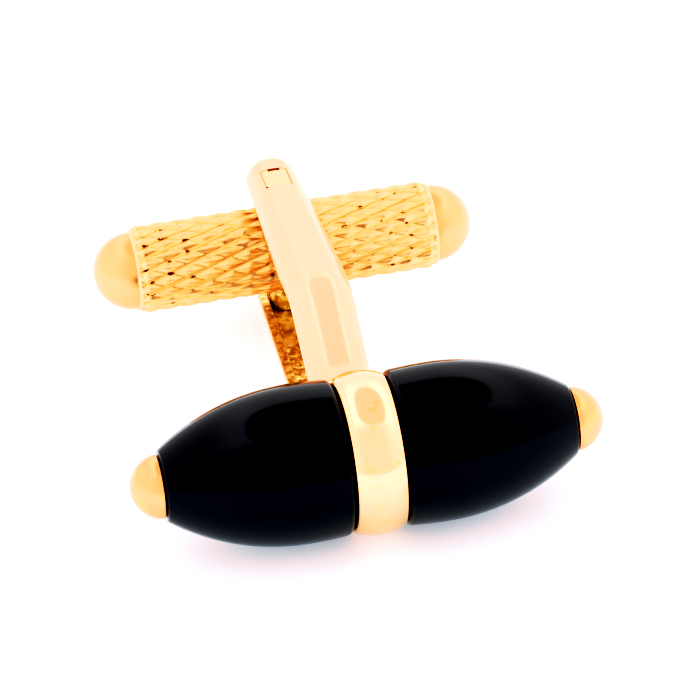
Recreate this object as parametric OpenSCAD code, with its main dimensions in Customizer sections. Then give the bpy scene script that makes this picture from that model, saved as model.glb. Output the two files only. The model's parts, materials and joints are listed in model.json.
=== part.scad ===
// Swivel bar cufflink: a torpedo head of two black stones on a gold band,
// a forked post behind it and a knurled bar that turns between the fork's arms.
// Millimetres, +Z up. The head runs along X, the post along +Y from the head,
// and the origin is the middle of the bounding box's bottom face.

/* [Head] */
// Length of the head from cap tip to cap tip
head_len = 22; // [21.5:0.1:23]
// Radius of the stones at their widest
belly_r = 3.68; // [3.62:0.01:3.72]
// Distance from the middle of the head to where the stones are widest
belly_x = 3.3; // [2.8:0.1:3.6]
// Radius of the stones at the band
stone_in_r = 3.58; // [3.52:0.01:3.62]
// Radius that the taper would reach at the caps
stone_end_r = 1.64; // [1.5:0.02:1.8]
// Rounding of the stones beside the band
shoulder_r = 0.3; // [0.2:0.05:0.5]
// Rounding of the stones beside the caps
end_round_r = 0.25; // [0.1:0.05:0.35]
// Radius of the caps' collars
cap_r = 1.48; // [1.42:0.01:1.6]
// Length of a cap along the head, collar and dome
cap_len = 1.4; // [1.3:0.05:1.6]
// Length of a cap's straight collar
collar_len = 0.2; // [0.15:0.05:0.3]
// Width of the band round the middle of the head
band_w = 2.44; // [2.3:0.02:2.5]
// Radius of the band at its two rims
band_rim_r = 3.52; // [3.4:0.01:3.6]
// Radius of the band at the crown between its rims
band_crown_r = 3.8; // [3.72:0.01:3.86]
// Radius of the rod that holds the stones
rod_r = 0.8; // [0.7:0.05:0.9]
// How far the rod enters each cap
rod_end_len = 0.5; // [0.4:0.05:0.6]

/* [Fork] */
// Distance from the head's axis to the swivel axis
pivot_dist = 19.2; // [19:0.1:19.6]
// Distance from the head's axis to the arms' tips
arm_reach = 22.1; // [21.9:0.1:22.3]
// Distance from the head's axis to the arms' outer faces
arm_out = 3.78; // [3.7:0.01:3.8]
// Thickness of an arm at its crown
arm_t = 1.05; // [1:0.01:1.1]
// Height of an arm's straight sides under the rounded outer face
arm_side = 0.2; // [0.16:0.02:0.24]
// How flat the arch of an arm's outer face is: 2 is a parabola, more is flatter with steeper flanks
arch_power = 2.9; // [2:0.05:4]
// Width of an arm where it leaves the head
arm_w_root = 2.86; // [2.76:0.02:2.9]
// Width of an arm where it is widest
arm_w_mid = 3.04; // [2.9:0.02:3.1]
// Width of an arm at the start of its round tip
arm_w_tip = 2.44; // [2.3:0.02:2.6]
// Distance from the head's axis to where the arms start to spread
ramp_start = 5.6; // [5.5:0.05:5.8]
// Distance from the head's axis to where the arms start to level out
ramp_end = 8.75; // [8.6:0.05:8.9]
// Height of an arm's middle above the head's axis before it spreads
root_z = 0.85; // [0.8:0.01:0.9]
// Depth of the hollow in an arm's inner face
hollow_depth = 0.45; // [0.35:0.05:0.5]
// Width of the metal left on each side of the hollow
hollow_lip = 0.42; // [0.38:0.02:0.5]
// Distance from the head's axis to the start of the hollow
hollow_start = 11.9; // [11.6:0.1:13]

/* [Swivel bar] */
// Length of the bar over its domes
bar_len = 18.36; // [17.8:0.02:18.6]
// Radius over the points of the knurl
knurl_r = 2.1; // [2.04:0.01:2.14]
// Radius at the bottom of the knurl's grooves
knurl_root_r = 1.93; // [1.8:0.01:1.94]
// Number of grooves of each hand round the bar
knurl_starts = 20; // [16:1:24]
// Number of rows of knurl points along the bar
knurl_rows = 15; // [11:2:19]
// Radius of the plain rim beside each dome
rim_r = 1.95; // [1.9:0.01:2.02]
// Width of the plain rim beside each dome
rim_w = 0.14; // [0.1:0.02:0.3]
// Radius of the domes
dome_r = 1.84; // [1.76:0.01:1.88]

/* [Swivel pin] */
// Radius of the pin inside the bar
pin_r = 0.75; // [0.7:0.05:0.85]
// Radial clearance between the pin and the bar's bore
pin_clear = 0.05; // [0.03:0.01:0.08]
// Size of the pin's flat end tongues across the arm
tongue_w = 1.26; // [1.1:0.02:1.3]
// Size of the pin's flat end tongues along the arm
tongue_l = 1.4; // [1.2:0.05:1.4]
// How far the tongues' middle lies beyond the swivel axis
tongue_shift = 0.12; // [0:0.02:0.14]
// Open end of the slot past the tongue
slot_gap = 0.2; // [0.15:0.05:0.25]

/* [Hidden] */
$fn = 96;
fit_gap = 0.05;
end_gap = 0.1;
over = 0.01;
head_z = band_crown_r;
head_y = (band_crown_r - arm_reach) / 2;
pivot_y = head_y + pivot_dist;
stone_in = band_w / 2 + fit_gap;
cap_in = head_len / 2 - cap_len;
stone_out = cap_in - fit_gap;
taper_len = stone_out - belly_x;
taper_drop = belly_r - stone_end_r;
taper_r = (taper_len * taper_len + taper_drop * taper_drop) / (2 * taper_drop);
inner_len = belly_x - stone_in;
inner_drop = belly_r - stone_in_r;
inner_r = (inner_len * inner_len + inner_drop * inner_drop) / (2 * inner_drop);
dome_h = cap_len - collar_len;
cap_dome_r = (cap_r * cap_r + dome_h * dome_h) / (2 * dome_h);
crown_h = band_crown_r - band_rim_r;
crown_arc_r = (band_w * band_w / 4 + crown_h * crown_h) / (2 * crown_h);

arm_in = arm_out - arm_t;
arm_z = arm_in + arm_t / 2;
arm_start = 2.4;
neck_w = band_w - 0.12;
neck_end = 3.9;
flare_len = 0.9;
widest_y = 12;
crease_len = 0.4;
round_len = 1.25;
ramp_rise = (arm_z - root_z) / (ramp_end + round_len / 2 - ramp_start - crease_len / 2);
slope_step = 0.05;
tip_r = arm_w_tip / 2;
tip_start = arm_reach - tip_r;
path_step = 0.55;
tip_steps = 7;
tip_share = 0.995;
arch_steps = 12;

bar_half = bar_len / 2 - dome_r;
knurl_half = bar_half - rim_w;
shoulder_lift = 0.04;
end_lift = 0.2;
shank_half = arm_in + hollow_depth - end_gap;
tongue_in = knurl_r + end_gap;
tongue_out = arm_out - end_gap;

gold = [0.95, 0.74, 0.38];
pin_gold = [0.88, 0.66, 0.32];
onyx = [0.04, 0.04, 0.05];

// Places a piece that was drawn with the head's axis through the origin
module at_head() {
    translate([0, head_y, head_z]) children();
}

// Turns a profile, radius across and length up, about the X axis
module turned() {
    rotate([0, 90, 0]) rotate_extrude() children();
}

// Half section of one stone: widest at the belly, with one arc to the band and one to the cap
module stone_profile() {
    shoulder_top = stone_in_r + shoulder_lift;
    end_top = stone_end_r + end_lift;
    difference() {
        intersection() {
            union() {
                intersection() {
                    translate([belly_r - inner_r, belly_x]) circle(r = inner_r);
                    translate([0, stone_in]) square([belly_r, inner_len + over]);
                }
                intersection() {
                    translate([belly_r - taper_r, belly_x]) circle(r = taper_r);
                    translate([0, belly_x]) square([belly_r, taper_len]);
                }
            }
            union() {
                translate([0, stone_in + shoulder_r]) square([belly_r, stone_out]);
                translate([0, stone_in]) square([shoulder_top - shoulder_r, shoulder_r + over]);
                translate([shoulder_top - shoulder_r, stone_in + shoulder_r]) circle(r = shoulder_r);
            }
            union() {
                square([belly_r, stone_out - end_round_r]);
                square([end_top - end_round_r, stone_out]);
                translate([end_top - end_round_r, stone_out - end_round_r]) circle(r = end_round_r);
            }
        }
        square([rod_r + fit_gap, head_len]);
    }
}

// Half section of one cap: a collar, a shallow dome and a blind hole for the rod
module cap_profile() {
    difference() {
        union() {
            translate([0, cap_in]) square([cap_r, collar_len]);
            intersection() {
                translate([0, head_len / 2 - cap_dome_r]) circle(r = cap_dome_r);
                translate([0, cap_in + collar_len - over]) square([cap_r, cap_len]);
            }
        }
        square([rod_r + fit_gap, cap_in + rod_end_len + fit_gap]);
    }
}

// Half section of the band: a flat ring with a low crown, bored for the rod
module band_profile() {
    intersection() {
        translate([rod_r + fit_gap, -band_w / 2])
            square([band_crown_r - rod_r, band_w]);
        translate([band_crown_r - crown_arc_r, 0]) circle(r = crown_arc_r);
    }
}

module stone_right() {
    color(onyx) at_head() turned() stone_profile();
}

module stone_left() {
    color(onyx) at_head() mirror([1, 0, 0]) turned() stone_profile();
}

module cap_right() {
    color(gold) at_head() turned() cap_profile();
}

module cap_left() {
    color(gold) at_head() mirror([1, 0, 0]) turned() cap_profile();
}

module rod() {
    color(pin_gold) at_head() rotate([0, 90, 0])
        cylinder(h = 2 * (cap_in + rod_end_len), r = rod_r, center = true);
}

// Smooth step from 0 to 1 as t goes from 0 to 1
function ease(t) = (1 - cos(180 * min(max(t, 0), 1))) / 2;

// Rise past a corner that is rounded over a length, for a slope of one
function corner(past, len) = past < 0 ? 0 : past < len ? past * past / (2 * len) : past - len / 2;

// Height of an arm's middle above the head's axis: level, a straight ramp, level again
function arm_mid(y) =
    root_z + ramp_rise * (corner(y - ramp_start, crease_len) - corner(y - ramp_end, round_len));

// Slope angle of an arm along the post
function arm_slope(y) = atan2(arm_mid(y + slope_step) - arm_mid(y - slope_step), 2 * slope_step);

// How far round the tip a station lies: 1 before the tip, 0 at its end
function tip_part(y) = y <= tip_start ? 1 : sqrt(max(0, 1 - pow((y - tip_start) / tip_r, 2)));

// Width of an arm: narrow inside the band, widest past the ramp, then a taper and a round tip
function arm_width(y) =
    let (body = lookup(y, [[neck_end, arm_w_root], [widest_y, arm_w_mid], [tip_start, arm_w_tip]]))
    (neck_w + (body - neck_w) * ease((y - neck_end) / flare_len)) * tip_part(y);

// Cross-section of an arm: flat inner face, short sides and an arched outer face
function arm_section(w, part) = concat(
    [[w / 2, -arm_t / 2]],
    [for (i = [0 : arch_steps])
        let (u = cos(180 * i / arch_steps))
        [w / 2 * u, -arm_t / 2 + part * (arm_side + (arm_t - arm_side) * (1 - pow(abs(u), arch_power)))]],
    [[-w / 2, -arm_t / 2]]);

// Stations along the post: even steps, then closer ones round the tip
path_n = ceil((tip_start - arm_start) / path_step);
stations = concat(
    [for (i = [0 : path_n]) arm_start + (tip_start - arm_start) * i / path_n],
    [for (i = [1 : tip_steps]) tip_start + tip_r * tip_share * sin(90 * i / tip_steps)]);

// Upper arm as a closed skin over its cross-sections
module arm_body() {
    rings = [for (y = stations)
        let (a = arm_slope(y), part = tip_part(y))
        [for (p = arm_section(arm_width(y), part))
            [p[0], y - p[1] * sin(a), arm_mid(y) + p[1] * cos(a)]]];
    n = len(rings[0]);
    m = len(rings);
    points = [for (r = rings) each r];
    sides = [for (j = [0 : m - 2], i = [0 : n - 1])
        let (k = (i + 1) % n)
        each [[j * n + i, j * n + k, (j + 1) * n + k], [j * n + i, (j + 1) * n + k, (j + 1) * n + i]]];
    near_end = [for (i = [1 : n - 2]) [0, i + 1, i]];
    far_end = [for (i = [1 : n - 2]) [(m - 1) * n, (m - 1) * n + i, (m - 1) * n + i + 1]];
    polyhedron(points = points, faces = concat(sides, near_end, far_end), convexity = 4);
}

// Long round-ended hollow in the inner face of an arm
module arm_hollow() {
    w0 = arm_width(hollow_start) / 2 - hollow_lip;
    w1 = tip_r - hollow_lip;
    y1 = tip_start;
    translate([0, 0, arm_in - over])
        linear_extrude(hollow_depth + over) {
            polygon([[-w0, hollow_start + w0], [w0, hollow_start + w0], [w1, y1], [-w1, y1]]);
            translate([0, hollow_start + w0]) circle(r = w0);
            translate([0, y1]) circle(r = w1);
        }
}

// Slot through an arm for the pin's tongue, longer than the tongue towards the tip
module tongue_slot() {
    slot_w = tongue_w + 2 * fit_gap;
    slot_l = tongue_l + fit_gap + slot_gap;
    translate([-slot_w / 2, pivot_dist + tongue_shift - tongue_l / 2 - fit_gap, arm_in])
        cube([slot_w, slot_l, arm_t + 1]);
}

module arm() {
    difference() {
        arm_body();
        arm_hollow();
        tongue_slot();
    }
}

// Band with both arms soldered to its back
module band_fork() {
    color(gold) at_head() {
        turned() band_profile();
        arm();
        mirror([0, 0, 1]) arm();
    }
}

// Flat tongue at the upper end of the pin, from just above the bar up into the arm's slot
module pin_tongue() {
    translate([-tongue_w / 2, tongue_shift - tongue_l / 2, tongue_in])
        cube([tongue_w, tongue_l, tongue_out - tongue_in]);
}

// Swivel pin: round inside the bar, with a flat tongue in each arm's slot
module pivot_pin() {
    color(pin_gold) translate([0, pivot_y, head_z]) {
        cylinder(h = 2 * shank_half, r = pin_r, center = true);
        pin_tongue();
        mirror([0, 0, 1]) pin_tongue();
    }
}

// Knurled length of the bar: points and groove crossings alternate round each
// ring and along each row, and the edges between crossings are the grooves
module knurl() {
    n = 2 * knurl_starts;
    m = knurl_rows;
    step = 2 * knurl_half / m;
    function radius(i, j) = j == 0 || j == m || (i + j) % 2 == 0 ? knurl_root_r : knurl_r;
    points = concat(
        [for (j = [0 : m], i = [0 : n - 1])
            [-knurl_half + j * step, radius(i, j) * cos(360 * i / n), radius(i, j) * sin(360 * i / n)]],
        [[-knurl_half, 0, 0], [knurl_half, 0, 0]]);
    sides = [for (j = [0 : m - 1], i = [0 : n - 1])
        let (k = (i + 1) % n, a = j * n + i, b = j * n + k, c = (j + 1) * n + k, d = (j + 1) * n + i)
        each (i + j) % 2 == 0 ? [[a, c, b], [a, d, c]] : [[a, d, b], [b, d, c]]];
    left_end = [for (i = [0 : n - 1]) [(m + 1) * n, i, (i + 1) % n]];
    right_end = [for (i = [0 : n - 1]) [(m + 1) * n + 1, m * n + (i + 1) % n, m * n + i]];
    polyhedron(points = points, faces = concat(sides, left_end, right_end), convexity = 4);
}

// One end of the bar: the plain rim and the dome
module bar_end() {
    turned() {
        translate([0, knurl_half]) square([rim_r, rim_w]);
        intersection() {
            translate([0, bar_half]) circle(r = dome_r);
            translate([0, knurl_half]) square([dome_r, dome_r + rim_w]);
        }
    }
}

// Swivel bar, drawn across the post as it lies when the cufflink is fastened
module toggle_bar() {
    color(gold) translate([0, pivot_y, head_z]) difference() {
        union() {
            knurl();
            bar_end();
            mirror([1, 0, 0]) bar_end();
        }
        cylinder(h = 3 * knurl_r, r = pin_r + pin_clear, center = true);
    }
}

stone_left();
stone_right();
cap_left();
cap_right();
rod();
band_fork();
pivot_pin();
toggle_bar();
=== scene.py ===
"""Swivel bar cufflink: a torpedo head of black onyx on a gold band, a forked post and a knurled bar.

The file follows the cufflink as a jeweller puts it together: the stones are turned and polished, the caps
and the band close on them, the fork is soldered to the band, and the bar turns on its pin between the arms.
Sizes are in millimetres, and are turned to metres where a mesh or a node takes them.
"""

import json
import math

import bmesh
import bpy
from mathutils import Matrix, Vector, noise


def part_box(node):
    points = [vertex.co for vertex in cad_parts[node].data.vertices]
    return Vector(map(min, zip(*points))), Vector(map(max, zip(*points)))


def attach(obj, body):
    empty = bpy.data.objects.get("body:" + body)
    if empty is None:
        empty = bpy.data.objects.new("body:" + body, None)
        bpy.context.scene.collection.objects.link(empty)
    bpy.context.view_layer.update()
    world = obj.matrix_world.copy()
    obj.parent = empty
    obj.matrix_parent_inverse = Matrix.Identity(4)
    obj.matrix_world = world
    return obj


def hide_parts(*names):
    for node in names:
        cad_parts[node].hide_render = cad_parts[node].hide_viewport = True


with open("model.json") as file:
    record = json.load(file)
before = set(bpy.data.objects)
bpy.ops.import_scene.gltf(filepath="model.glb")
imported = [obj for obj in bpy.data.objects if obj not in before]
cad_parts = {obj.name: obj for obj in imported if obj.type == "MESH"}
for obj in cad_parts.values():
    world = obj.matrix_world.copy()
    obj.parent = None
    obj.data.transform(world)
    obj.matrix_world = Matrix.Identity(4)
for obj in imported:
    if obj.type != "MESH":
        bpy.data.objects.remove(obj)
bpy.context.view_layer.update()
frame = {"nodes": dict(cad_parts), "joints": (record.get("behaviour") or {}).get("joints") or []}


# Black onyx stones
# Two halves of a torpedo, cut from dyed agate, drilled for the rod and polished to a mirror.
# They are pushed on the rod from both sides until they meet the band.

mm = 0.001
stone_lo, stone_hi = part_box("stone_right")
head_y = (stone_lo.y + stone_hi.y) / 2 / mm
head_z = (stone_lo.z + stone_hi.z) / 2 / mm
belly_r = (stone_hi.z - stone_lo.z) / 2 / mm
stone_in = stone_lo.x / mm
stone_out = stone_hi.x / mm
belly_x = 3.3
stone_in_r = 3.58
stone_end_r = 1.64
shoulder_r = 0.3
stone_lip_r = 0.24
stone_bore_r = 0.85
stone_sides = 192
polish_ripple = 0.9
polish_marks_per_mm = (0.4, 9)


def linear(hex_colour):
    """sRGB hex to linear colour with full alpha."""
    parts = [int(hex_colour[i:i + 2], 16) / 255 for i in (1, 3, 5)]
    return [c / 12.92 if c <= 0.04045 else ((c + 0.055) / 1.055) ** 2.4 for c in parts] + [1.0]


def empty_material(name):
    """A new material without nodes, and its tree."""
    material = bpy.data.materials.new(name)
    material.use_nodes = True
    material.node_tree.nodes.clear()
    return material, material.node_tree


def add(tree, kind, sockets=None, **settings):
    """Adds a node; sockets maps an input's name or number to a value or to the output that feeds it."""
    made = tree.nodes.new(kind)
    for name, value in settings.items():
        setattr(made, name, value)
    for socket, value in (sockets or {}).items():
        if isinstance(value, bpy.types.NodeSocket):
            tree.links.new(value, made.inputs[socket])
        else:
            made.inputs[socket].default_value = value
    return made


def hairlines(tree, place, per_mm, turn=(0.0, 0.0, 0.0), detail=1.0):
    """Noise drawn out into fine streaks: so many to a millimetre along their run and across it."""
    along, across = per_mm
    drawn = add(tree, "ShaderNodeMapping", {
        "Vector": place, "Rotation": turn, "Scale": (along / mm, across / mm, across / mm),
    })
    streaks = add(tree, "ShaderNodeTexNoise", {"Vector": drawn.outputs[0], "Scale": 1.0, "Detail": detail})
    return streaks.outputs["Fac"]


def arc(centre, radius, start, end, steps):
    """Points (along, out) round a circle from one angle to another, in degrees."""
    angles = [math.radians(start + (end - start) * i / steps) for i in range(steps + 1)]
    return [(centre[0] + radius * math.cos(a), centre[1] + radius * math.sin(a)) for a in angles]


def bow(run, drop):
    """Radius of the arc that falls by drop over a run from its top."""
    return (run ** 2 + drop ** 2) / (2 * drop)


def finished_mesh(name, points, faces, crease_deg=35, materials=(), face_material=None):
    """Closed, outward-facing, smooth-shaded piece from points in millimetres."""
    mesh = bpy.data.meshes.new(name)
    mesh.from_pydata([[c * mm for c in p] for p in points], [], faces)
    for index, value in enumerate(face_material or []):
        mesh.polygons[index].material_index = value
    weld = 0.0001 * mm
    work = bmesh.new()
    work.from_mesh(mesh)
    bmesh.ops.remove_doubles(work, verts=work.verts, dist=weld)
    bmesh.ops.dissolve_degenerate(work, edges=work.edges, dist=weld)
    bmesh.ops.recalc_face_normals(work, faces=work.faces)
    work.to_mesh(mesh)
    work.free()
    mesh.shade_smooth()
    mesh.set_sharp_from_angle(angle=math.radians(crease_deg))
    for material in materials:
        mesh.materials.append(material)
    piece = bpy.data.objects.new(name, mesh)
    bpy.context.scene.collection.objects.link(piece)
    return piece


def turned(name, profile, axis_y, axis_z, sides, side=1, closed=False, **finish):
    """Turns a profile of (along, out) points about a line along X, as on a lathe."""
    points = []
    for along, out in profile:
        for k in range(sides):
            a = 2 * math.pi * k / sides
            points.append((side * along, axis_y - out * math.cos(a), axis_z + out * math.sin(a)))
    rows = len(profile)
    faces = []
    for j in range(rows if closed else rows - 1):
        low = j * sides
        high = (j + 1) % rows * sides
        for k in range(sides):
            n = (k + 1) % sides
            faces.append((low + k, low + n, high + n, high + k))
    return finished_mesh(name, points, faces, **finish)


# Dyed black agate polished to a mirror. Its face swallows the light, and only at the limb does the bright
# backdrop show as a grey band, with a few hairline polishing marks in it.
onyx, tree = empty_material("black onyx, mirror polished")
place = add(tree, "ShaderNodeTexCoord").outputs["Object"]
waviness = add(tree, "ShaderNodeTexNoise", {
    "Vector": place, "Scale": 1 / (polish_ripple * mm), "Detail": 2.0,
})
haze = add(tree, "ShaderNodeMapRange", {
    "Value": hairlines(tree, place, polish_marks_per_mm, detail=3.0),
    "From Min": 0.45, "From Max": 0.75, "To Min": 0.035, "To Max": 0.075,
})
relief = add(tree, "ShaderNodeBump", {
    "Height": waviness.outputs["Fac"], "Strength": 0.04, "Distance": 0.05 * mm,
})
shader = add(tree, "ShaderNodeBsdfPrincipled", {
    "Base Color": linear("#0A0A0C"),
    "Roughness": haze.outputs["Result"],
    "IOR": 1.53,
    "Specular IOR Level": 0.5,
    "Specular Tint": linear("#F7F2FF"),
    "Coat Weight": 0.22,
    "Coat Roughness": 0.06,
    "Normal": relief.outputs["Normal"],
})
add(tree, "ShaderNodeOutputMaterial", {"Surface": shader.outputs[0]})

# A stone's outline is one gentle arc to the band and a steeper one to the cap, with a fillet at both ends.
inner_r = bow(belly_x - stone_in, belly_r - stone_in_r)
taper_r = bow(stone_out - belly_x, belly_r - stone_end_r)
shoulder_x = stone_in + shoulder_r
shoulder_run = belly_x - shoulder_x
shoulder_turn = math.degrees(math.asin(shoulder_run / (inner_r - shoulder_r)))
shoulder_y = belly_r - inner_r + (inner_r - shoulder_r) * math.cos(math.radians(shoulder_turn))
lip_x = stone_out - stone_lip_r
lip_turn = math.degrees(math.asin((lip_x - belly_x) / (taper_r - stone_lip_r)))
lip_y = belly_r - taper_r + (taper_r - stone_lip_r) * math.cos(math.radians(lip_turn))
stone_profile = [(stone_in, stone_bore_r)]
stone_profile += arc((shoulder_x, shoulder_y), shoulder_r, 180, 90 + shoulder_turn, 14)
stone_profile += arc((belly_x, belly_r - inner_r), inner_r, 90 + shoulder_turn, 90, 10)[1:]
stone_profile += arc((belly_x, belly_r - taper_r), taper_r, 90, 90 - lip_turn, 64)[1:]
stone_profile += arc((lip_x, lip_y), stone_lip_r, 90 - lip_turn, 0, 12)[1:]
stone_profile += [(stone_out, stone_bore_r)]

for name, side in (("stone_left", -1), ("stone_right", 1)):
    stone = turned(
        name + "_polished", stone_profile, head_y, head_z, stone_sides,
        side=side, closed=True, materials=[onyx],
    )
    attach(stone, "head")
    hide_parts(name)


# End caps and rod
# Small spun domes of gold-plated brass with a short straight collar, closing the thin ends of the stones.
# The rod runs through the whole head and is glued into a blind hole in each cap.

cap_lo, cap_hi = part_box("cap_right")
cap_in = cap_lo.x / mm
cap_out = cap_hi.x / mm
cap_r = (cap_hi.z - cap_lo.z) / 2 / mm
collar_len = 0.2
cap_edge_r = 0.06
cap_hole_r = 0.85
cap_hole_len = 0.55
cap_sides = 96
plate_cloud = 1.6
plate_blotch = 0.8
plate_swell = 0.8
scratches_per_mm = (0.9, 12)


def polished_gold(name, roughness, scratch_depth, light="#FAD1A8", deep="#F8CB9C", wear=0.0, patches=0.0):
    """Gold plate over brass: wear spreads a broad haze over its shine, patches are where it has thinned."""
    material, tree = empty_material(name)
    place = add(tree, "ShaderNodeTexCoord").outputs["Object"]
    cloud = add(tree, "ShaderNodeTexNoise", {
        "Vector": place, "Scale": 1 / (plate_cloud * mm), "Detail": 3.0,
    }).outputs["Fac"]
    tint = add(tree, "ShaderNodeMix", {0: cloud, 6: linear(deep), 7: linear(light)}, data_type="RGBA")
    blotch = add(tree, "ShaderNodeTexNoise", {
        "Vector": place, "Scale": 1 / (plate_blotch * mm), "Detail": 4.0, "Roughness": 0.65,
    })
    thin = add(tree, "ShaderNodeMapRange", {
        "Value": blotch.outputs["Fac"], "From Min": 0.52, "From Max": 0.68, "To Max": patches,
    })
    colour = add(tree, "ShaderNodeMix", {
        0: thin.outputs["Result"], 6: tint.outputs[2], 7: linear("#F6C07C"),
    }, data_type="RGBA").outputs[2]
    gloss = add(tree, "ShaderNodeMapRange", {
        "Value": cloud, "From Min": 0.3, "From Max": 0.7,
        "To Min": roughness * 0.8, "To Max": roughness * 1.25,
    })
    one_way = hairlines(tree, place, scratches_per_mm, turn=(0.3, 0.5, 0.6))
    other_way = hairlines(tree, place, scratches_per_mm, turn=(0.2, -0.4, -0.9))
    crossed = add(tree, "ShaderNodeMath", {0: one_way, 1: other_way}, operation="MAXIMUM")
    cuts = add(tree, "ShaderNodeMapRange", {
        "Value": crossed.outputs[0], "From Min": 0.66, "From Max": 0.8, "To Min": 1.0, "To Max": 0.0,
    })
    swell = add(tree, "ShaderNodeTexNoise", {
        "Vector": place, "Scale": 1 / (plate_swell * mm), "Detail": 1.0,
    }).outputs["Fac"]
    soft = add(tree, "ShaderNodeBump", {"Height": swell, "Strength": 0.12, "Distance": 0.02 * mm})
    relief = add(tree, "ShaderNodeBump", {
        "Height": cuts.outputs["Result"], "Strength": scratch_depth, "Distance": 0.004 * mm,
        "Normal": soft.outputs["Normal"],
    }).outputs["Normal"]
    sharp = add(tree, "ShaderNodeBsdfPrincipled", {
        "Base Color": colour, "Metallic": 1.0, "Roughness": gloss.outputs["Result"], "Normal": relief,
    })
    broad = add(tree, "ShaderNodeBsdfPrincipled", {
        "Base Color": colour, "Metallic": 1.0, "Roughness": 0.6, "Normal": relief,
    })
    shader = add(tree, "ShaderNodeMixShader", {0: wear, 1: sharp.outputs[0], 2: broad.outputs[0]})
    add(tree, "ShaderNodeOutputMaterial", {"Surface": shader.outputs[0]})
    return material


# Buffed gold plate on small spun parts: satin, deep in colour and a little mottled, with soft reflections.
cap_gold = polished_gold("gold plate, spun and buffed", 0.27, 0.25, "#F6C09A", "#EAA577", patches=0.6)

dome_h = cap_out - cap_in - collar_len
cap_dome_r = bow(cap_r, dome_h)
cap_dome_turn = math.degrees(math.asin(cap_r / cap_dome_r))
cap_profile = [(cap_in + cap_hole_len, 0), (cap_in + cap_hole_len, cap_hole_r), (cap_in, cap_hole_r)]
cap_profile += arc((cap_in + cap_edge_r, cap_r - cap_edge_r), cap_edge_r, 180, 90, 5)
cap_profile += [(cap_in + collar_len, cap_r)]
cap_profile += arc((cap_out - cap_dome_r, 0), cap_dome_r, cap_dome_turn, 0, 26)[1:]

for name, side in (("cap_left", -1), ("cap_right", 1)):
    cap = turned(
        name + "_spun", cap_profile, head_y, head_z, cap_sides,
        side=side, crease_deg=28, materials=[cap_gold],
    )
    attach(cap, "head")
    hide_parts(name)

# Drawn rod, gold plated with the rest and left unpolished; it is hidden in the finished head.
rod_gold = polished_gold("gold plate on drawn rod", 0.25, 0.4)
rod = frame["nodes"]["rod"]
rod.data.materials.clear()
rod.data.materials.append(rod_gold)


# Band
# A flat gold ring with a low crown, turned from brass bar, bored for the rod and held between the stones.
# Its two edges are rounded over, and a fine line beside each of them catches the light.

band_w = 2.44
band_rim_r = 3.52
band_crown_r = 3.8
band_edge = 0.17
band_edge_bulge = 0.01
band_edge_steps = 7
band_line_in = 0.05
band_line_depth = 0.012
band_sides = 224

# Mirror-polished gold plate: it shows the studio's dim roof panel and its bright walls, with fine scratches
# and a few deeper patches where the plate has thinned.
band_gold = polished_gold("gold plate, mirror polished", 0.09, 0.5, "#FAD2AA", "#F8CC9E", patches=0.45)

crown_h = band_crown_r - band_rim_r
crown_arc_r = bow(band_w / 2, crown_h)
crown_centre = band_crown_r - crown_arc_r
crown_turn = math.degrees(math.asin((band_w / 2 - band_edge) / crown_arc_r))
crown = arc((0, crown_centre), crown_arc_r, 90 + crown_turn, 90 - crown_turn, 44)
line_at = crown[-1][0] - band_line_in
crown = [(x, r - band_line_depth * max(0.0, 1 - abs(abs(x) - line_at) / band_line_in)) for x, r in crown]
edge_x, edge_r = crown[-1]
edge_in = band_rim_r - band_edge
right_edge = []
for i in range(1, band_edge_steps + 1):
    t = i / band_edge_steps
    bend = 2 * t * (1 - t)
    x = (1 - t) ** 2 * edge_x + bend * (band_w / 2) + t ** 2 * (band_w / 2)
    r = (1 - t) ** 2 * edge_r + bend * (band_rim_r - band_edge_bulge) + t ** 2 * edge_in
    right_edge.append((x, r))
left_edge = [(-x, r) for x, r in reversed(right_edge)]
band_profile = [(-band_w / 2, stone_bore_r)] + left_edge + crown + right_edge + [(band_w / 2, stone_bore_r)]

band = turned(
    "band", band_profile, head_y, head_z, band_sides,
    closed=True, crease_deg=40, materials=[band_gold],
)
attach(band, "head")
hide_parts("band_fork")


# Forked post
# Two cast arms soldered to the back of the band. Each is half round and polished outside; its inner face is
# flat with a long hollow that was left rough from the casting. A slot near the tip holds the pin's tongue.

arm_t = 1.05
arm_side = 0.2
arch_power = 2.9
arm_out = 3.78
arm_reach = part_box("band_fork")[1].y / mm - head_y
arm_w_root = 2.86
arm_w_mid = 3.04
widest_y = 12
arm_w_tip = 2.44
neck_inset = 0.06
neck_w = band_w - 2 * neck_inset
neck_end = 3.9
flare_len = 0.9
arm_start = 2.4
ramp_start = 5.6
crease_len = 0.4
ramp_end = 8.75
round_len = 1.25
root_z = 0.85
arm_z = arm_out - arm_t / 2
ramp_rise = (arm_z - root_z) / (ramp_end + round_len / 2 - ramp_start - crease_len / 2)
hollow_depth = 0.45
hollow_lip = 0.42
hollow_start_lip = 0.16
hollow_start = 5.0
hollow_shallow = 0.3
hollow_falls = (9.6, 12.6)
hollow_wall = 0.16
cast_grain = 0.34
cast_relief = 0.07
cast_falloff = 0.8
cast_finer = 2.1
cast_octaves = 3
edge_round = 0.06
pivot = Vector(frame["joints"][0]["pos_m"]) / mm
pivot_dist = pivot.y - head_y
tongue_w = 1.26
tongue_l = 1.4
tongue_shift = 0.12
slot_gap = 0.2
fit_gap = 0.012
slot_half_w = tongue_w / 2 + fit_gap
slot_from = pivot_dist + tongue_shift - tongue_l / 2 - fit_gap
slot_to = slot_from + fit_gap + tongue_l + slot_gap
tip_r = arm_w_tip / 2
tip_start = arm_reach - tip_r
tip_steps = 18
tip_stop = 0.9995
row_step = 0.085
slot_columns = 10
flank_columns = 18


def ease(t):
    """Smooth step from 0 to 1."""
    return (1 - math.cos(math.pi * min(max(t, 0.0), 1.0))) / 2


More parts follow.
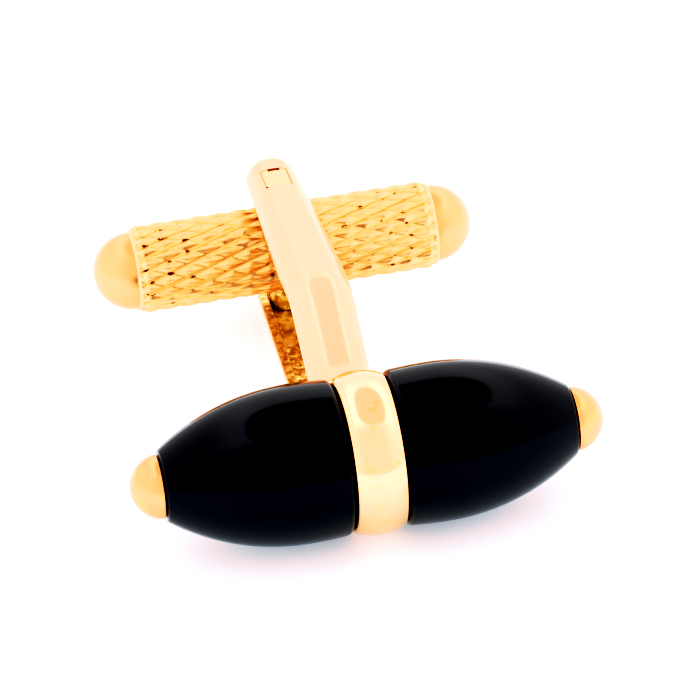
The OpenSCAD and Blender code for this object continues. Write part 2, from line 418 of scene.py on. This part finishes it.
def corner(past, length):
    """Rise past a corner that is rounded over a length, for a slope of one."""
    if past < 0:
        return 0.0
    return past ** 2 / (2 * length) if past < length else past - length / 2


def arm_mid(y):
    """Height of an arm's middle above the head's axis: level, a straight ramp, level again."""
    return root_z + ramp_rise * (corner(y - ramp_start, crease_len) - corner(y - ramp_end, round_len))


def arm_slope(y):
    """Slope angle of an arm along the post."""
    reach = 0.05
    return math.atan2(arm_mid(y + reach) - arm_mid(y - reach), 2 * reach)


def arch(x, half):
    """Height of an arm's outer face across its width: 1 on the middle line, 0 at its edges."""
    return 1 - min(abs(x / half), 1.0) ** arch_power


def tip_part(y):
    """1 before the round tip, 0 at its very end."""
    return 1.0 if y <= tip_start else math.sqrt(max(0.0, 1 - ((y - tip_start) / tip_r) ** 2))


def arm_half_width(y):
    """Half the width of an arm: narrow in the band, widest past the ramp, then a taper and a round tip."""
    if y < widest_y:
        body = arm_w_root + (arm_w_mid - arm_w_root) * (y - neck_end) / (widest_y - neck_end)
    else:
        past = min((y - widest_y) / (tip_start - widest_y), 1.0)
        body = arm_w_mid + (arm_w_tip - arm_w_mid) * past
    return (neck_w + (body - neck_w) * ease((y - neck_end) / flare_len)) * tip_part(y) / 2


def arm_columns(y):
    """Places across an arm, from its right edge to its left one, with lines along the slot's sides."""
    half = arm_half_width(min(y, slot_to))
    shrink = arm_half_width(y) / half
    start = math.asin(slot_half_w / half)
    turns = [start + (math.pi / 2 - start) * i / flank_columns for i in range(flank_columns + 1)]
    flank = [half * math.sin(turn) for turn in turns]
    middle = [slot_half_w * (1 - 2 * i / slot_columns) for i in range(1, slot_columns)]
    return [x * shrink for x in flank[::-1] + middle + [-x for x in flank]]


def arm_rows():
    """Stations along the post: even steps with lines at the slot's ends, then round the tip."""
    rows = []
    marks = [arm_start, slot_from, slot_to, tip_start]
    for low, high in zip(marks, marks[1:]):
        steps = math.ceil((high - low) / row_step)
        rows += [low + (high - low) * i / steps for i in range(steps)]
    turns = [math.pi / 2 * i / tip_steps for i in range(tip_steps + 1)]
    return rows + [tip_start + tip_r * tip_stop * math.sin(turn) for turn in turns]


def hollow_inside(x, y):
    """How far a point of the inner face lies inside the hollow's outline, negative outside it."""
    near_half = arm_half_width(hollow_start) - hollow_start_lip
    far_half = tip_r - hollow_lip
    near_y = hollow_start + near_half
    if y < near_y:
        return near_half - math.hypot(x, y - near_y)
    if y > tip_start:
        return far_half - math.hypot(x, y - tip_start)
    half = near_half + (far_half - near_half) * (y - near_y) / (tip_start - near_y)
    return half - abs(x)


def hollow_sink(x, y):
    """Depth of the hollow at a point of the inner face, with the lumps that the casting left."""
    share = ease(hollow_inside(x, y) / hollow_wall)
    if share == 0:
        return 0.0
    lumps = noise.fractal(Vector((x, y, 0.0)) / cast_grain, cast_falloff, cast_finer, cast_octaves)
    fall = ease((y - hollow_falls[0]) / (hollow_falls[1] - hollow_falls[0]))
    depth = hollow_depth * (hollow_shallow + (1 - hollow_shallow) * fall)
    return share * (depth - cast_relief + cast_relief * lumps)


def arm_points(rows, up):
    """The points of an arm: at each row first those of its outer face, then those of its inner one."""
    points = []
    for y in rows:
        slope = arm_slope(y)
        part = tip_part(y)
        half = arm_half_width(y)
        columns = arm_columns(y)
        heights = []
        for x in columns:
            heights.append(-arm_t / 2 + arm_side * part + (arm_t - arm_side) * part * arch(x, half))
        for x in columns:
            inset = max(0.0, 1 - (half - abs(x)) / edge_round)
            rounding = edge_round * part * (1 - math.sqrt(max(0.0, 1 - inset ** 2)))
            heights.append(-arm_t / 2 + hollow_sink(x, y) + rounding)
        for x, out in zip(columns + columns, heights):
            z = arm_mid(y) + out * math.cos(slope)
            points.append((x, head_y + y - out * math.sin(slope), head_z + up * z))
    return points


def arm_mesh(name, up, materials):
    """One arm as two sheets of the same grid, outer and inner, joined round the edge and in the slot."""
    rows = arm_rows()
    across = len(arm_columns(arm_start))
    slot_sides = (flank_columns, flank_columns + slot_columns)
    within = 1e-6
    slot_rows = [j for j, y in enumerate(rows) if slot_from - within < y < slot_to - within]
    faces = []
    rough = []

    def outer(j, i):
        """Number of an outer point from its row and its place across."""
        return 2 * across * j + i

    def inner(j, i):
        """Number of the inner point under it."""
        return 2 * across * j + across + i

    def quad(a, b, c, d, is_rough=False):
        """Adds one face and notes whether it keeps the casting's skin."""
        faces.append((a, b, c, d))
        rough.append(1 if is_rough else 0)

    for j in range(len(rows) - 1):
        columns = arm_columns(rows[j])
        rough_half = arm_half_width((rows[j] + rows[j + 1]) / 2) - edge_round
        for i in range(across - 1):
            if j in slot_rows and slot_sides[0] <= i < slot_sides[1]:
                continue
            in_hollow = abs(sum(columns[i:i + 2]) / 2) < rough_half
            quad(outer(j, i), outer(j, i + 1), outer(j + 1, i + 1), outer(j + 1, i))
            quad(inner(j, i), inner(j + 1, i), inner(j + 1, i + 1), inner(j, i + 1), in_hollow)
        for i in (0, across - 1) + (slot_sides if j in slot_rows else ()):
            quad(outer(j, i), outer(j + 1, i), inner(j + 1, i), inner(j, i))
    for i in range(across - 1):
        for j in (0, len(rows) - 1):
            quad(outer(j, i), outer(j, i + 1), inner(j, i + 1), inner(j, i))
    for i in range(*slot_sides):
        for j in (slot_rows[0], slot_rows[-1] + 1):
            quad(outer(j, i), outer(j, i + 1), inner(j, i + 1), inner(j, i))
    return finished_mesh(
        name, arm_points(rows, up), faces,
        crease_deg=38, materials=materials, face_material=rough,
    )


# Gold plate over a casting that was polished by hand and has been handled since: a crisp but pale reflection
# of the studio shows through a fine haze.
arm_gold = polished_gold(
    "gold plate, worn polish", 0.11, 0.5, "#FBCEAE", "#F9C9A6", wear=0.62, patches=0.15,
)

# Gold plate over the casting's own skin: grainy and deeper in colour, with a darker brown painted into
# the low points of its grain as painted shade.
cast_grit = 0.4
cast_gold, tree = empty_material("gold plate over rough casting")
place = add(tree, "ShaderNodeTexCoord").outputs["Object"]
grit = add(tree, "ShaderNodeTexNoise", {
    "Vector": place, "Scale": 1 / (cast_grit * mm), "Detail": 2.5, "Roughness": 0.6,
}).outputs["Fac"]
# Painted shade: the low points of the grain, where the bump sinks, get the darker colour.
grain_painted_shade = add(tree, "ShaderNodeMapRange", {"Value": grit, "From Min": 0.36, "From Max": 0.58})
tone_with_painted_shade = add(tree, "ShaderNodeMix", {
    0: grain_painted_shade.outputs["Result"], 6: linear("#CAA664"), 7: linear("#FFEFC0"),
}, data_type="RGBA")
relief = add(tree, "ShaderNodeBump", {"Height": grit, "Strength": 0.9, "Distance": 0.09 * mm})
shader = add(tree, "ShaderNodeBsdfPrincipled", {
    "Base Color": tone_with_painted_shade.outputs[2],
    "Metallic": 1.0,
    "Roughness": 0.34,
    "Normal": relief.outputs["Normal"],
})
add(tree, "ShaderNodeOutputMaterial", {"Surface": shader.outputs[0]})

for name, up in (("arm_upper", 1), ("arm_lower", -1)):
    arm = arm_mesh(name, up, [arm_gold, cast_gold])
    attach(arm, "head")
    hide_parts("band_fork")


# Swivel pin
# A cast pin, gold plated. The bar turns on its round shank, which wears the rough cast gold: the
# casting's skin, and with its painted pit shade a stand-in for the shade that falls on the shank. Each end
# is a flat tongue that is pressed into an arm's slot and filed flush with the arm's rounded back.

pin_r = 0.75
pin_sides = 48
shank_sink = 0.1
shank_top = arm_z - arm_t / 2 + hollow_depth - shank_sink
tongue_from = 2.2
tongue_below = 0.012
tongue_chamfer = 0.02
tongue_rows = 8
notch_half_w = 0.3
notch_len = 0.17
notch_wall = 0.01
corner_cut = 0.09
outer_column = 0.46
inner_column = 0.1


def tongue_rings():
    """A tongue's grids of (x, y, height above the bar's axis): its base, its neck and its filed top."""
    half_w = tongue_w / 2
    right = [inner_column, notch_half_w - notch_wall, notch_half_w + notch_wall, outer_column, half_w]
    columns = [-x for x in reversed(right)] + right
    near = tongue_shift - tongue_l / 2
    far = slot_to - fit_gap - pivot_dist
    rings = []
    for level in ("base", "neck", "top"):
        inset = tongue_chamfer if level == "top" else 0.0
        grid = []
        for j in range(tongue_rows + 1):
            for i, column in enumerate(columns):
                x = column * (1 - inset / half_w)
                end = far - (notch_len if abs(column) < notch_half_w else 0.0)
                y = near + inset + (end - near - 2 * inset) * j / tongue_rows
                if i == 0 and j == 0:
                    x += corner_cut
                    y += corner_cut
                arched = (arm_t - arm_side) * arch(x, arm_half_width(pivot_dist + y))
                back = arm_z - arm_t / 2 + arm_side + arched - tongue_below
                z = tongue_from if level == "base" else back - (tongue_chamfer if level == "neck" else 0)
                grid.append((x, y, z))
        rings.append(grid)
    return rings, len(columns) - 1


def add_tongue(points, faces, up):
    """Adds one tongue to a mesh that is being built."""
    rings, across = tongue_rings()
    first = len(points)
    for grid in rings:
        points.extend((x, pivot.y + y, head_z + up * z) for x, y, z in grid)
    size = len(rings[0])
    border = [(i, 0) for i in range(across)] + [(across, j) for j in range(tongue_rows)]
    border += [(i, tongue_rows) for i in range(across, 0, -1)] + [(0, j) for j in range(tongue_rows, 0, -1)]
    around = [j * (across + 1) + i for i, j in border]
    for level in range(len(rings) - 1):
        low = first + level * size
        high = low + size
        for k, here in enumerate(around):
            beyond = around[(k + 1) % len(around)]
            faces.append((low + here, low + beyond, high + beyond, high + here))
    for level in (0, len(rings) - 1):
        base = first + level * size
        for j in range(tongue_rows):
            for i in range(across):
                a = base + j * (across + 1) + i
                faces.append((a, a + 1, a + across + 2, a + across + 1))


# Gold plate over the filed ends of the pin: a little duller than the arms round them.
pin_gold = polished_gold("gold plate, filed flush", 0.16, 0.6, "#F8CEA4", "#F5C99C", wear=0.3)

pin_points = []
pin_faces = []
for up in (1, -1):
    add_tongue(pin_points, pin_faces, up)
first = len(pin_points)
tongue_faces = len(pin_faces)
for z in (-shank_top, shank_top):
    for k in range(pin_sides):
        a = 2 * math.pi * k / pin_sides
        pin_points.append((pin_r * math.cos(a), pivot.y + pin_r * math.sin(a), head_z + z))
for k in range(pin_sides):
    n = (k + 1) % pin_sides
    pin_faces.append((first + k, first + n, first + pin_sides + n, first + pin_sides + k))
pin_faces.append(tuple(first + k for k in range(pin_sides)))
pin_faces.append(tuple(first + pin_sides + k for k in range(pin_sides)))
# Shank faces take the rough cast gold, whose painted pit shade also darkens the shank where shade falls on
# it.
on_shank = [0 if index < tongue_faces else 1 for index in range(len(pin_faces))]
pin = finished_mesh(
    "swivel_pin", pin_points, pin_faces,
    crease_deg=30, materials=[pin_gold, cast_gold], face_material=on_shank,
)
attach(pin, "head")
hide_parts("pivot_pin")


# Knurled swivel bar
# Turned from brass rod with a smooth dome and a narrow plain rim at each end, then rolled between knurling
# wheels that press two crossing sets of grooves into it, and gold plated. It turns on the pin.

bar_lo, bar_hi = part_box("toggle_bar")
bar_len = (bar_hi.x - bar_lo.x) / mm
knurl_r = 2.1
rim_r = 1.95
rim_w = 0.14
rim_chamfer = 0.07
rim_step = 0.02
dome_r = 1.84
dome_seam = 0.02
end_taper = 0.32
knurl_starts = 20
knurl_lead = 1.94
knurl_steps = 20
main_groove = 0.17
cross_groove = 0.13
groove_sharpness = 1.2
groove_blend = 0.12
depth_spread = 0.35
wheel_wear = 0.8
wear_middle = 0.55
run_out = 0.2
# Size of the noise spots that choose which pits get painted shade, in millimetres.
painted_shade_spot_size = 0.5
bar_half = bar_len / 2 - dome_r
knurl_half = bar_half - rim_w
start_r = rim_r + rim_step

# Gold plate over the knurl: every leaf of metal has a soft satin shine. The colour in the grooves is
# painted deeper, as painted shade; the domes are a deeper tone of the plate; and some pits where grooves
# cross are painted dark brown, also as painted shade.
knurl_gold, tree = empty_material("gold plate over knurling")
place = add(tree, "ShaderNodeTexCoord").outputs["Object"]
depth = add(tree, "ShaderNodeAttribute", attribute_name="groove").outputs["Fac"]
crossing = add(tree, "ShaderNodeAttribute", attribute_name="crossing").outputs["Fac"]
spots = add(tree, "ShaderNodeTexNoise", {"Vector": place, "Scale": 1 / (painted_shade_spot_size * mm), "Detail": 2.0})
# Painted shade: the plate's colour turns deeper as a groove gets deeper.
tone_with_painted_shade = add(tree, "ShaderNodeMix", {0: depth, 6: linear("#F5C99C"), 7: linear("#F3C792")}, data_type="RGBA")
# Painted shade: dark brown painted into some of the pits where the grooves cross, in spots chosen by noise.
pit = add(tree, "ShaderNodeMapRange", {"Value": crossing, "From Min": 0.5, "From Max": 0.75})
painted_shade_spots = add(tree, "ShaderNodeMapRange", {"Value": spots.outputs["Fac"], "From Min": 0.56, "From Max": 0.64})
crossing_painted_shade = add(tree, "ShaderNodeMath", {
    0: pit.outputs["Result"], 1: painted_shade_spots.outputs["Result"],
}, operation="MULTIPLY")
colour = add(tree, "ShaderNodeMix", {
    0: crossing_painted_shade.outputs[0], 6: tone_with_painted_shade.outputs[2], 7: linear("#7A4A18"),
}, data_type="RGBA")
from_middle = add(tree, "ShaderNodeMath", {
    0: add(tree, "ShaderNodeSeparateXYZ", {0: place}).outputs[0],
}, operation="ABSOLUTE").outputs[0]
on_dome = add(tree, "ShaderNodeMapRange", {
    "Value": from_middle,
    "From Min": (bar_half - dome_seam) * mm, "From Max": (bar_half + dome_seam) * mm,
})
plate = add(tree, "ShaderNodeMix", {
    0: on_dome.outputs["Result"], 6: colour.outputs[2], 7: linear("#F5B88C"),
}, data_type="RGBA")
shader = add(tree, "ShaderNodeBsdfPrincipled", {
    "Base Color": plate.outputs[2], "Metallic": 1.0, "Roughness": 0.33,
})
add(tree, "ShaderNodeOutputMaterial", {"Surface": shader.outputs[0]})


def knurling_tree():
    """Geometry nodes that press two crossing sets of helical grooves into a turned blank."""
    tree = bpy.data.node_groups.new("knurling", "GeometryNodeTree")
    tree.interface.new_socket("Blank", in_out="INPUT", socket_type="NodeSocketGeometry")
    sockets = {}
    for name in (
        "Axis Y", "Axis Z", "Starts", "Lead", "Main Depth", "Cross Depth", "Depth Spread", "Wheel Wear",
        "Sharpness", "Blend", "Half Length", "Run-out",
    ):
        sockets[name] = tree.interface.new_socket(name, in_out="INPUT", socket_type="NodeSocketFloat")
    sockets["Finish"] = tree.interface.new_socket("Finish", in_out="INPUT", socket_type="NodeSocketMaterial")
    tree.interface.new_socket("Bar", in_out="OUTPUT", socket_type="NodeSocketGeometry")
    given = add(tree, "NodeGroupInput").outputs

    def calc(operation, a, b=0.0, c=0.0):
        """The result of one sum."""
        return add(tree, "ShaderNodeMath", {0: a, 1: b, 2: c}, operation=operation).outputs[0]

    position = add(tree, "GeometryNodeInputPosition").outputs[0]
    place = add(tree, "ShaderNodeSeparateXYZ", {0: position}).outputs
    front = calc("SUBTRACT", given["Axis Y"], place[1])
    rise = calc("SUBTRACT", place[2], given["Axis Z"])
    turn = calc("DIVIDE", calc("ARCTAN2", rise, front), 2 * math.pi)
    radius = calc("SQRT", calc("ADD", calc("MULTIPLY", front, front), calc("MULTIPLY", rise, rise)))
    round_phase = calc("MULTIPLY", turn, given["Starts"])
    along_phase = calc("DIVIDE", place[0], given["Lead"])
    uneven = add(tree, "ShaderNodeTexNoise", {
        "Scale": calc("DIVIDE", 1.0, given["Wheel Wear"]), "Detail": 1.0,
    }).outputs["Fac"]
    swing = calc("SUBTRACT", uneven, wear_middle)
    force = calc("ADD", 1.0, calc("MULTIPLY", given["Depth Spread"], swing))
    shapes = []
    grooves = []
    for name, phase in (
        ("Main Depth", calc("SUBTRACT", round_phase, along_phase)),
        ("Cross Depth", calc("ADD", round_phase, along_phase)),
    ):
        wave = calc("COSINE", calc("MULTIPLY", phase, 2 * math.pi))
        shapes.append(calc("POWER", calc("MULTIPLY", calc("ADD", wave, 1.0), 0.5), given["Sharpness"]))
        grooves.append(calc("MULTIPLY", calc("MULTIPLY", shapes[-1], given[name]), force))
    cut = calc("SMOOTH_MAX", grooves[0], grooves[1], calc("MULTIPLY", given["Main Depth"], given["Blend"]))
    to_end = calc("SUBTRACT", given["Half Length"], calc("ABSOLUTE", place[0]))
    fade = add(tree, "ShaderNodeMapRange", {
        "Value": to_end, "From Min": 0.0, "From Max": given["Run-out"],
    }).outputs["Result"]
    sunk = calc("MULTIPLY", cut, fade)
    share = calc("DIVIDE", sunk, calc("MAXIMUM", radius, 1e-6))
    inward = calc("MULTIPLY", rise, calc("MULTIPLY", share, -1.0))
    shift = add(tree, "ShaderNodeCombineXYZ", {1: calc("MULTIPLY", front, share), 2: inward})
    pressed = add(tree, "GeometryNodeSetPosition", {"Geometry": given["Blank"], "Offset": shift.outputs[0]})
    stored = add(tree, "GeometryNodeStoreNamedAttribute", {
        "Geometry": pressed.outputs[0], "Name": "groove",
        "Value": calc("DIVIDE", sunk, given["Main Depth"]),
    }, data_type="FLOAT", domain="POINT")
    marked = add(tree, "GeometryNodeStoreNamedAttribute", {
        "Geometry": stored.outputs[0], "Name": "crossing",
        "Value": calc("MULTIPLY", calc("MULTIPLY", shapes[0], shapes[1]), fade),
    }, data_type="FLOAT", domain="POINT")
    real = add(tree, "GeometryNodeRealizeInstances", {0: marked.outputs[0]})
    plated = add(tree, "GeometryNodeSetMaterial", {"Geometry": real.outputs[0], "Material": given["Finish"]})
    add(tree, "NodeGroupOutput", {0: plated.outputs[0]})
    return tree, {name: socket.identifier for name, socket in sockets.items()}


# The blank: a dome, a chamfered rim and a small step at each end, with a body that eases up from the step.
knurl_rows = round(2 * knurl_half / (knurl_lead / knurl_steps))
dome = arc((bar_half, 0), dome_r, 0, 90, 30)
rim = [
    (bar_half, rim_r - rim_chamfer), (bar_half - rim_chamfer, rim_r), (knurl_half + rim_step, rim_r),
    (knurl_half, start_r),
]
body = []
for i in range(knurl_rows + 1):
    x = knurl_half - 2 * knurl_half * i / knurl_rows
    body.append((x, start_r + (knurl_r - start_r) * ease((knurl_half - abs(x)) / end_taper)))
blank_profile = dome + rim + body + [(-x, r) for x, r in reversed(dome + rim)]
blank = turned(
    "swivel_bar_blank", blank_profile, pivot.y, pivot.z, knurl_starts * knurl_steps,
    crease_deg=50, materials=[knurl_gold],
)
knurling, sockets = knurling_tree()
wheels = blank.modifiers.new("knurling", "NODES")
wheels.node_group = knurling
for name, value in (
    ("Axis Y", pivot.y * mm), ("Axis Z", pivot.z * mm), ("Starts", float(knurl_starts)),
    ("Lead", knurl_lead * mm), ("Main Depth", main_groove * mm), ("Cross Depth", cross_groove * mm),
    ("Depth Spread", depth_spread), ("Wheel Wear", wheel_wear * mm), ("Sharpness", groove_sharpness),
    ("Blend", groove_blend), ("Half Length", knurl_half * mm), ("Run-out", run_out * mm),
    ("Finish", knurl_gold),
):
    wheels[sockets[name]] = value
bpy.context.view_layer.update()
graph = bpy.context.evaluated_depsgraph_get()
bar_mesh = bpy.data.meshes.new_from_object(blank.evaluated_get(graph))
bar_mesh.name = "swivel_bar"
bar = bpy.data.objects.new("swivel_bar", bar_mesh)
bpy.context.scene.collection.objects.link(bar)
bpy.data.objects.remove(blank)
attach(bar, "toggle")
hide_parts("toggle_bar")


# Studio
# A pale table top inside a bright light tent with a dimmer panel in its roof, and the camera at the
# height and the side that the cufflink is seen from.

# Matt white card, faintly lit from below: white without a hard shadow on it.
paper, tree = empty_material("matt white card on a light table")
shader = add(tree, "ShaderNodeBsdfPrincipled", {
    "Base Color": linear("#F0F9FD"), "Roughness": 0.9, "Specular IOR Level": 0.1,
    "Emission Color": linear("#E5EBF6"), "Emission Strength": 0.18,
})
add(tree, "ShaderNodeOutputMaterial", {"Surface": shader.outputs[0]})
table_half = 1500
table = finished_mesh("table", [
    (-table_half, -table_half, 0), (table_half, -table_half, 0),
    (table_half, table_half, 0), (-table_half, table_half, 0),
], [(0, 1, 2, 3)], materials=[paper])

camera_place = Vector((-46.07, -263.76, 167.21)) * mm
aim = Vector((1.33, 0.98, 3.08)) * mm
camera_roll = math.radians(-3.83)
camera = bpy.data.objects.new("camera", bpy.data.cameras.new("camera"))
bpy.context.scene.collection.objects.link(camera)
look = (aim - camera_place).to_track_quat("-Z", "Y")
tilt = look.to_matrix().to_4x4() @ Matrix.Rotation(camera_roll, 4, "Z")
camera.matrix_world = Matrix.Translation(camera_place) @ tilt
camera.data.sensor_width = 36
camera.data.lens = 346.2
camera.data.clip_start = 0.01
camera.data.clip_end = 10
bpy.context.scene.camera = camera

# How bright the tent is: its back, side and front walls, its roof on both sides of the panel and behind
# it, and the panel itself.
wall = 0.63
side_wall = 0.7
front_wall = 0.58
bright_roof = 0.9
far_roof = 0.74
roof_panel = 0.5

# The panel is a rounded oblong, wider towards the camera. Its directions are those in which it is seen
# from the cufflink, and its half sizes are sines of the angles that it fills.
panel_centre = Vector((0.14, 0.205, 0.969)).normalized()
panel_right = Vector((1, 0, 0)).cross(panel_centre).cross(panel_centre) * -1
panel_right.normalize()
panel_back = panel_centre.cross(panel_right)
panel_half_width = math.sin(math.radians(22))
panel_half_length = math.sin(math.radians(31.5))
panel_flare = 0.2
panel_power = 2.6

# Where one level turns into the next: lengths across the panel are 1 at its edge, and the rest are
# how far a direction points to the side, to the front or upwards.
panel_edge = (0.93, 1.07)
roof_edge = (1.2, 1.8)
roof_sides = (0.2, 1.0)
roof_front = (0.05, 0.5)
roof_corners = 0.6
wall_corner = (0.3, 0.8)
wall_front = (-0.1, 0.7)
wall_top = (0.1, 0.3)
world = bpy.data.worlds.new("light tent")
bpy.context.scene.world = world
world.use_nodes = True
tree = world.node_tree
tree.nodes.clear()
toward = add(tree, "ShaderNodeTexCoord").outputs["Generated"]


def calc(operation, a, b=0.0):
    """The result of one sum."""
    return add(tree, "ShaderNodeMath", {0: a, 1: b}, operation=operation).outputs[0]


def facing(axis):
    """How far a direction points along an axis, from -1 to 1."""
    return add(tree, "ShaderNodeVectorMath", {0: toward, 1: axis}, operation="DOT_PRODUCT").outputs["Value"]


def blend(value, span, at_start, at_end):
    """A smooth change from one level to another while a value crosses a span."""
    return add(tree, "ShaderNodeMapRange", {
        "Value": value, "From Min": span[0], "From Max": span[1], "To Min": at_start, "To Max": at_end,
    }, interpolation_type="SMOOTHSTEP").outputs["Result"]


def between(share, first, second):
    """A level between two others."""
    return add(tree, "ShaderNodeMix", {0: share, 2: first, 3: second}, data_type="FLOAT").outputs[0]


lengthwise = calc("DIVIDE", facing(panel_back), panel_half_length)
flare = calc("SUBTRACT", 1.0, calc("MULTIPLY", lengthwise, panel_flare))
crosswise = calc("ABSOLUTE", calc("DIVIDE", calc("DIVIDE", facing(panel_right), panel_half_width), flare))
squares = calc(
    "ADD", calc("POWER", crosswise, panel_power), calc("POWER", calc("ABSOLUTE", lengthwise), panel_power),
)
spread = calc("POWER", squares, 1 / panel_power)
sideways = blend(calc("ABSOLUTE", facing((1.0, 0.0, 0.0))), wall_corner, 0.0, 1.0)
forward = facing((0.0, -1.0, 0.0))
above = blend(facing((0.0, 0.0, 1.0)), wall_top, 0.0, 1.0)
walls = between(sideways, blend(forward, wall_front, wall, front_wall), side_wall)
roof_keep = calc("MAXIMUM", blend(forward, roof_front, 1.0, 0.0), calc("MULTIPLY", sideways, roof_corners))
roof_share = calc("MULTIPLY", calc("MULTIPLY", blend(spread, roof_edge, 1.0, 0.0), roof_keep), above)
tent = between(roof_share, walls, blend(crosswise, roof_sides, far_roof, bright_roof))
panel_share = calc("MULTIPLY", blend(spread, panel_edge, 1.0, 0.0), above)
glow = between(panel_share, tent, roof_panel)
light = add(tree, "ShaderNodeBackground", {"Color": (1.0, 1.0, 1.0, 1.0), "Strength": glow})
add(tree, "ShaderNodeOutputWorld", {"Surface": light.outputs[0]})

# The picture is developed hard, as product photographs are: deep blacks and clipped whites. The red curve
# lifts the middle, which warms the gold, and the others lift only the top, which keeps the table white.
view = bpy.context.scene.view_settings
view.view_transform = "Standard"
view.use_curve_mapping = True
development = view.curve_mapping
development.white_level = (0.58, 0.58, 0.58)
all_channels = [
    (0.066, 0.0), (0.172, 0.048), (0.246, 0.13), (0.31, 0.27), (0.398, 0.47),
    (0.517, 0.65), (0.672, 0.82), (0.83, 0.94), (0.95, 0.995),
]
red = [(0.2, 0.2), (0.434, 0.456), (0.61, 0.78), (0.75, 0.93), (0.87, 0.99), (0.93, 1.0)]
straight = [(level / 10, level / 10) for level in range(1, 8)]
green = straight + [(0.77, 0.775), (0.84, 0.895), (0.9, 0.975)]
blue = straight + [(0.01, 0.003), (0.03, 0.028), (0.78, 0.82), (0.86, 0.94), (0.92, 0.99)]
for channel, points in ((3, all_channels), (0, red), (1, green), (2, blue)):
    for x, y in points:
        development.curves[channel].points.new(x, y)
development.update()
